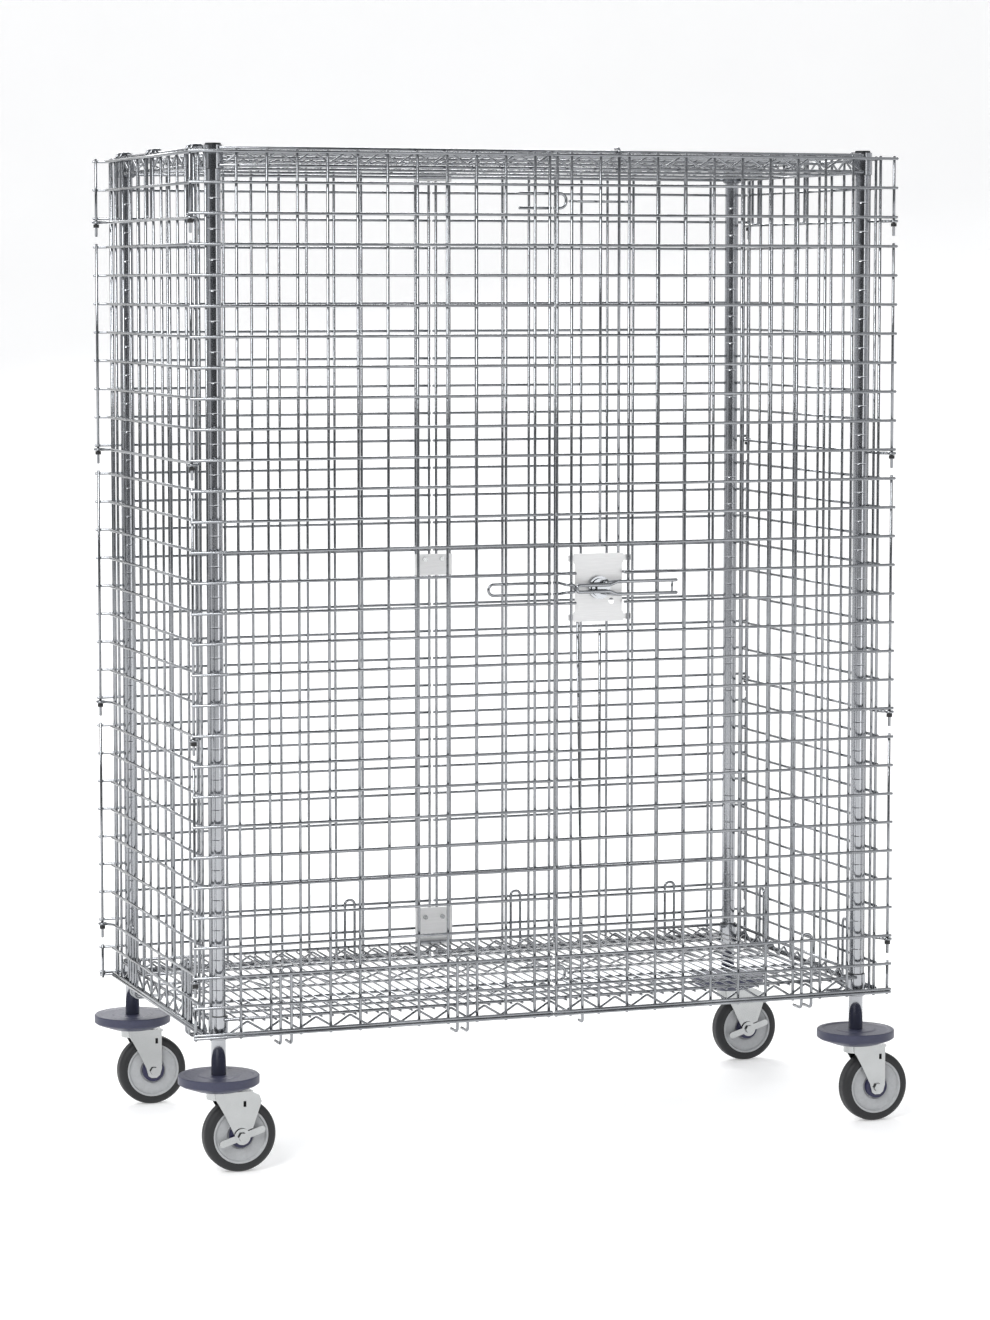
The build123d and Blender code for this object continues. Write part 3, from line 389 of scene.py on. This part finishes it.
def floor_hook(place):
    """A hairpin with its feet bent inward; place(run, inward, z) gives a point of it."""
    path = [
        place(-HOOK_LEG, HOOK_REACH, HOOK_BOTTOM_Z),
        place(-HOOK_LEG, 0, HOOK_BOTTOM_Z),
        place(-HOOK_LEG, 0, HOOK_TOP_Z),
        place(HOOK_LEG, 0, HOOK_TOP_Z),
        place(HOOK_LEG, 0, HOOK_BOTTOM_Z),
        place(HOOK_LEG, HOOK_REACH, HOOK_BOTTOM_Z),
    ]
    return rounded(path, HOOK_LEG - 0.001, 8), WIRE_D


def front_hook(x):
    return floor_hook(lambda run, inward, z: (x + run, FRONT_Y + inward, z))


def rear_hook(x):
    return floor_hook(lambda run, inward, z: (x + run, REAR_Y - inward, z))


def side_hook(side, y):
    return floor_hook(lambda run, inward, z: (at_x(side, SIDE_X - inward), y + run, z))


def side_hanger(side, y):
    """A hairpin on the side panel whose two legs reach in over the top shelf's rim."""
    inner = at_x(side, POST_X + HANGER_TIP_OUT)
    outer = at_x(side, SIDE_X)
    high_z = TOP_RIM_Z + (RIM_D + WIRE_D) / 2 + WELD_GAP
    low_z = ROW_HEIGHTS[2] - OVERHANG
    one_leg = [(inner, HANGER_TIP_Z), (inner, high_z), (outer, high_z), (outer, low_z)]
    path = [(x, y - HANGER_LEG, z) for x, z in one_leg]
    path += [(x, y + HANGER_LEG, z) for x, z in reversed(one_leg)]
    return rounded(path, BEND), WIRE_D


left_hooks = [front_hook(at_x(-1, distance)) for distance in (HOOK_OUTER, HOOK_INNER)]
wire_piece("left_door_hook_wires", left_hooks, "left_door", "left_door_hooks")
wire_piece("right_door_hook_wire", [front_hook(at_x(1, HOOK_OUTER))], "right_door", "right_door_hook")
cage_hooks = [side_hook(side, end * SIDE_HOOK_Y) for side in SIDES for end in SIDES]
cage_hooks += [rear_hook(at_x(side, distance)) for side in SIDES for distance in (HOOK_OUTER, HOOK_INNER)]
cage_hooks += [side_hanger(side, y) for side in SIDES for y in HANGER_PLACES]
wire_piece("cage_hook_wires", cage_hooks, "cage", "panel_hooks")

# ---- catch loops, hasp and padlock staple ---------------------------------------
KEEPER_GAP = 0.0016
LOOP_Y = FRONT_Y + CROSS
CATCH_HEIGHTS = (TOP_ROW_Z - 0.0784, TOP_ROW_Z - 1.4216)
CATCH_HALF = 0.0126
CATCH_PRONG = 0.062
CATCH_LOOP = 0.025
LOOP_FLAT = 0.0001
HASP_HALF = 0.0097
HASP_LOOP = 0.117
STAPLE_OUT = 0.0106
STAPLE_HALF = 0.0065


def closed_loop(x_open, x_closed, z, half):
    """A U of wire lying on its side, open at the gap between the doors."""
    path = [
        (x_open, LOOP_Y, z + half),
        (x_closed, LOOP_Y, z + half),
        (x_closed, LOOP_Y, z - half),
        (x_open, LOOP_Y, z - half),
    ]
    return rounded(path, half - LOOP_FLAT, 10), WIRE_D


def padlock_staple():
    """A narrow U that starts behind the mesh at the door gap and comes out in front of it."""
    one_side = [
        (at_x(1, KEEPER_GAP), LOOP_Y, HASP_HALF),
        (at_x(1, EDGE_X + 0.005), LOOP_Y, HASP_HALF),
        (at_x(1, EDGE_X + 0.015), FRONT_Y - STAPLE_OUT, STAPLE_HALF),
        (at_x(1, 0.036), FRONT_Y - STAPLE_OUT, STAPLE_HALF),
    ]
    path = [(x, y, LATCH_Z + rise) for x, y, rise in one_side]
    path += [(x, y, LATCH_Z - rise) for x, y, rise in reversed(one_side)]
    return rounded(path, TIGHT_BEND), WIRE_D


prong_ends = (at_x(-1, CATCH_PRONG), at_x(-1, KEEPER_GAP))
catch_prongs = [
    along_x(LOOP_Y, z + rise, *prong_ends) for z in CATCH_HEIGHTS for rise in (-CATCH_HALF, CATCH_HALF)
]
wire_piece("left_door_catch_wires", catch_prongs, "left_door", "left_door_catches")
hasp = closed_loop(at_x(-1, KEEPER_GAP), at_x(-1, HASP_LOOP), LATCH_Z, HASP_HALF)
wire_piece("left_door_hasp_wire", [hasp], "left_door", "left_door_hasp")
catch_loops = [closed_loop(at_x(1, KEEPER_GAP), at_x(1, CATCH_LOOP), z, CATCH_HALF) for z in CATCH_HEIGHTS]
wire_piece("right_door_catch_wires", catch_loops, "right_door", "right_door_catches")
wire_piece("padlock_staple_wire", [padlock_staple()], "right_door", "padlock_staple")

# ---- latch handle, lock rods and their guides -----------------------------------
HANDLE_Y = FRONT_Y - 0.020
HANDLE_D = 0.006
HANDLE_HALF = 0.011
HANDLE_TAIL_HALF = 0.0057
RUNG_D = 0.004
HANDLE_LEG_D = 0.005
ROD_Y = FRONT_Y + 0.0072
CRANK_R = 0.0385
ROD_LAP = 0.005
ROD_HOOK = 0.019
UPPER_ROD_TOP_Z = 1.7456
LOWER_ROD_FOOT_Z = 0.221
LOWER_ROD_LEAN = 0.012
GUIDE_D = 0.0046
GUIDE_HEIGHTS = (TOP_ROW_Z - 0.079, TOP_ROW_Z - 1.423)


def latch_handle():
    """A long hairpin with a rung at its tip and two short legs down to the hub."""
    one_side = [
        (0.138, HANDLE_HALF, 0.009),
        (0.138, HANDLE_HALF, 0),
        (0.026, HANDLE_HALF, 0),
        (0.012, HANDLE_TAIL_HALF, 0),
        (-0.048, HANDLE_TAIL_HALF, 0),
    ]
    path = [(LATCH_X + run, HANDLE_Y + back, LATCH_Z + rise) for run, rise, back in one_side]
    path += [(LATCH_X + run, HANDLE_Y + back, LATCH_Z - rise) for run, rise, back in reversed(one_side)]
    wires = [(rounded(path, TIGHT_BEND, 7), HANDLE_D)]
    wires.append(upright(LATCH_X + 0.129, HANDLE_Y, LATCH_Z - HANDLE_HALF, LATCH_Z + HANDLE_HALF, RUNG_D))
    for side in SIDES:
        leg = [
            (LATCH_X + 0.004, FRONT_Y - 0.0076, LATCH_Z + side * 0.0095),
            (LATCH_X + 0.004, HANDLE_Y + 0.001, LATCH_Z + side * 0.0095),
            (LATCH_X + 0.034, HANDLE_Y + 0.001, LATCH_Z + side * 0.012),
        ]
        wires.append((rounded(leg, BEND, 7), HANDLE_LEG_D))
    return wires


def upper_rod():
    x = LATCH_X + CRANK_R
    path = [
        (x, ROD_Y, LATCH_Z - ROD_LAP),
        (x, ROD_Y, UPPER_ROD_TOP_Z),
        (x, ROD_Y + ROD_HOOK, UPPER_ROD_TOP_Z),
    ]
    return rounded(path, BEND, 7), WIRE_D


def lower_rod():
    x = LATCH_X - CRANK_R
    path = [
        (x, ROD_Y, LATCH_Z + ROD_LAP),
        (x + LOWER_ROD_LEAN, ROD_Y, LOWER_ROD_FOOT_Z),
        (x + LOWER_ROD_LEAN, ROD_Y + ROD_HOOK, LOWER_ROD_FOOT_Z),
    ]
    return rounded(path, BEND, 7), WIRE_D


def rod_guide(z):
    """A wire that stands off the door mesh in the middle, to let a rod through."""
    low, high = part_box("rod_guides")
    seat_y = low.y + GUIDE_D / 2
    bar_y = high.y - GUIDE_D / 2
    outline = [(low.x, seat_y), (low.x + 0.009, seat_y), (low.x + 0.016, bar_y)]
    outline += [(high.x - 0.016, bar_y), (high.x - 0.009, seat_y), (high.x, seat_y)]
    return rounded([(x, y, z) for x, y in outline], TIGHT_BEND), GUIDE_D


wire_piece("latch_handle_wires", latch_handle(), "latch", "latch_handle")
wire_piece("upper_rod_wire", [upper_rod()], "upper_rod", "upper_rod")
wire_piece("lower_rod_wire", [lower_rod()], "lower_rod", "lower_rod")
wire_piece("rod_guide_wires", [rod_guide(z) for z in GUIDE_HEIGHTS], "right_door", "rod_guides")

# ---- posts with their rolled grooves --------------------------------------------
POST_SIDES = 40
GROOVE_DEPTH = 0.0002
GROOVE_PROFILE = (
    (-0.0016, 0),
    (-0.0009, 0),
    (-0.0004, GROOVE_DEPTH),
    (0.0004, GROOVE_DEPTH),
    (0.0009, 0),
    (0.0016, 0),
)

post_outline = [(POST_R, posts_low.z)]
for row_z in reversed(ROW_HEIGHTS[1:]):
    middle_z = row_z + ROW_PITCH / 2
    post_outline += [(POST_R - depth, middle_z + rise) for rise, depth in GROOVE_PROFILE]
post_outline.append((POST_R, posts_high.z))


def add_post(mesh, x, y):
    """A round post turned from the outline, which is (radius, z) from bottom to top."""
    rings = []
    for radius, z in post_outline:
        spots = [(x + radius * math.cos(turn), y + radius * math.sin(turn), z) for turn in circle(POST_SIDES)]
        rings.append([mesh.verts.new(spot) for spot in spots])
    join_rings(mesh, rings)


posts = bmesh.new()
for side in SIDES:
    for end in SIDES:
        add_post(posts, at_x(side, POST_X), end * POST_Y)
add_piece("grooved_posts", posts, "cage", MATERIALS["post_chrome"], "posts")

# ---- shelves --------------------------------------------------------------------
RIM_OUT = 0.016
RIM_X = POST_X + RIM_OUT
RIM_Y = POST_Y + RIM_OUT
RIM_GAP = 0.029
RIB_Y = 0.102
DECK_PITCH = 0.0204
DECK_HALF_COUNT = 28
DECK_OVERHANG = 0.0018
DECK_DROP = RIM_D / 2 + DECK_D / 2 + WELD_GAP
RIB_DROP = DECK_DROP + DECK_D / 2 + WIRE_D / 2 + WELD_GAP
COLLAR_R = 0.017
COLLAR_BITE = math.sqrt(COLLAR_R**2 - RIM_OUT**2)


def zigzag(count, place, high, low):
    """A wire that runs up and down between two rims; place(run, z) gives a point of it."""
    points = []
    for step in range(-2 * count - 1, 2 * count + 2):
        points.append(place(step * 1.5 * DECK_PITCH, low if step % 2 else high))
    return rounded(points, ZIGZAG_BEND, 4), TRUSS_D


def shelf(name, rim_z):
    """The rims and ribs, the zigzags between them, and the deck of one shelf."""
    lower_z = rim_z - RIM_GAP
    reach_x = POST_X - COLLAR_BITE
    reach_y = POST_Y - COLLAR_BITE
    rib_end = RIM_X - RIM_D / 2
    rim_weld = (RIM_D + TRUSS_D) / 2
    rib_weld = (WIRE_D + TRUSS_D) / 2
    rims = (rim_z - rim_weld, lower_z + rim_weld)
    ribs = (rim_z - RIB_DROP - rib_weld, lower_z + rib_weld)
    frame_wires = []
    zigzags = []
    for end in SIDES:
        for z in (rim_z, lower_z):
            frame_wires.append(along_x(end * RIM_Y, z, at_x(-1, reach_x), at_x(1, reach_x), RIM_D))
            frame_wires.append(along_y(at_x(end, RIM_X), z, -reach_y, reach_y, RIM_D))
        for z in (rim_z - RIB_DROP, lower_z):
            frame_wires.append(along_x(end * RIB_Y, z, at_x(-1, rib_end), at_x(1, rib_end)))
        zigzags.append(zigzag(9, lambda run, z: (CENTRE_X + run, end * RIM_Y, z), *rims))
        zigzags.append(zigzag(4, lambda run, z: (at_x(end, RIM_X), run, z), *rims))
        zigzags.append(zigzag(9, lambda run, z: (CENTRE_X + run, end * RIB_Y, z), *ribs))
    deck_end = RIM_Y + DECK_OVERHANG
    deck_wires = [
        along_y(CENTRE_X + (step + 0.5) * DECK_PITCH, rim_z - DECK_DROP, -deck_end, deck_end, DECK_D)
        for step in range(-DECK_HALF_COUNT, DECK_HALF_COUNT)
    ]
    wire_piece(f"{name}_rims", frame_wires, "cage", f"{name}_frame")
    wire_piece(f"{name}_zigzags", zigzags, "cage", f"{name}_trusses")
    wire_piece(f"{name}_wires", deck_wires, "cage", f"{name}_deck")


shelf("top_shelf", TOP_RIM_Z)
shelf("bottom_shelf", BOTTOM_RIM_Z)

# ---- studio ---------------------------------------------------------------------
VIEW_TURN = math.radians(-19.86)
WALL_Y = 6.0
WALL_TOP = 12.0
SWEEP_FRONT_Y = -14.0
SWEEP_HALF_WIDTH = 16
SWEEP_R = 3.5
SWEEP_STEPS = 24
SWEEP_DROP = 0.0005


def studio_sweep():
    """A floor that curves up into a wall behind the cage, glowing a little."""
    material = finish("floor", (0.84, 0.84, 0.84), 0.0, 0.75, 0.05, 3, tint=0.01)
    shader = material.node_tree.nodes["Principled BSDF"]
    shader.inputs["Emission Color"].default_value = (1, 1, 1, 1)
    shader.inputs["Emission Strength"].default_value = 0.36
    curve_y = WALL_Y - SWEEP_R
    line = [(SWEEP_FRONT_Y, 0.0), (curve_y, 0.0)]
    for step in range(1, SWEEP_STEPS + 1):
        turn = math.pi / 2 * step / SWEEP_STEPS
        line.append((curve_y + SWEEP_R * math.sin(turn), SWEEP_R - SWEEP_R * math.cos(turn)))
    line.append((WALL_Y, WALL_TOP))
    mesh = bmesh.new()
    left, right = [
        [mesh.verts.new((x, y, z - SWEEP_DROP)) for y, z in line]
        for x in (-SWEEP_HALF_WIDTH, SWEEP_HALF_WIDTH)
    ]
    for step in range(len(line) - 1):
        face = mesh.faces.new((left[step], right[step], right[step + 1], left[step + 1]))
        face.smooth = True
    data = bpy.data.meshes.new("studio_sweep")
    mesh.to_mesh(data)
    mesh.free()
    data.materials.append(material)
    floor = bpy.data.objects.new("studio_sweep", data)
    floor.rotation_euler = (0, 0, VIEW_TURN)
    bpy.context.scene.collection.objects.link(floor)


def studio_world():
    """A pale room with a dark zone on one side, which the chrome reflects as dark bands."""
    world = bpy.data.worlds.new("studio")
    bpy.context.scene.world = world
    world.use_nodes = True
    tree = world.node_tree
    sky = tree.nodes["Background"]
    sky.inputs["Strength"].default_value = 0.8
    direction = tree.nodes.new("ShaderNodeTexCoord")
    towards = tree.nodes.new("ShaderNodeVectorMath")
    towards.operation = "DOT_PRODUCT"
    towards.inputs[1].default_value = (-0.34, -0.94, 0.1)
    shade = tree.nodes.new("ShaderNodeValToRGB")
    pale, dark = shade.color_ramp.elements
    pale.position = 0.45
    pale.color = (0.82, 0.83, 0.85, 1)
    dark.position = 0.82
    dark.color = (0.085, 0.087, 0.092, 1)
    tree.links.new(direction.outputs["Generated"], towards.inputs[0])
    tree.links.new(towards.outputs["Value"], shade.inputs["Fac"])
    tree.links.new(shade.outputs["Color"], sky.inputs["Color"])


def panel_light(name, place, target, width, height, power):
    light = bpy.data.lights.new(name, "AREA")
    light.shape = "RECTANGLE"
    light.size = width
    light.size_y = height
    light.energy = power
    lamp = bpy.data.objects.new(name, light)
    lamp.location = place
    lamp.rotation_euler = (Vector(target) - Vector(place)).to_track_quat("-Z", "Y").to_euler()
    bpy.context.scene.collection.objects.link(lamp)


def studio_camera():
    """A long lens at eye height, to the left of the cage, looking slightly down."""
    data = bpy.data.cameras.new("camera")
    data.sensor_fit = "VERTICAL"
    data.sensor_height = 36.0
    data.lens = 105.35
    data.shift_y = -0.031
    camera = bpy.data.objects.new("camera", data)
    camera.location = (-2.375, -6.561, 1.517)
    camera.rotation_euler = (math.radians(90 - 5.0), 0, VIEW_TURN)
    bpy.context.scene.collection.objects.link(camera)
    bpy.context.scene.camera = camera


studio_sweep()
studio_world()
panel_light("key_light", (-3.5, -3.5, 4.0), (0, 0, 0.9), 2.5, 2.5, 220)
panel_light("fill_light", (2.2, -5.2, 0.9), (0, 0, 0.95), 1.0, 2.2, 16)
panel_light("back_light", (0.5, 4.0, 3.5), (0, 0, 1.0), 3.0, 1.5, 120)
studio_camera()
bpy.context.scene.view_settings.view_transform = "Standard"
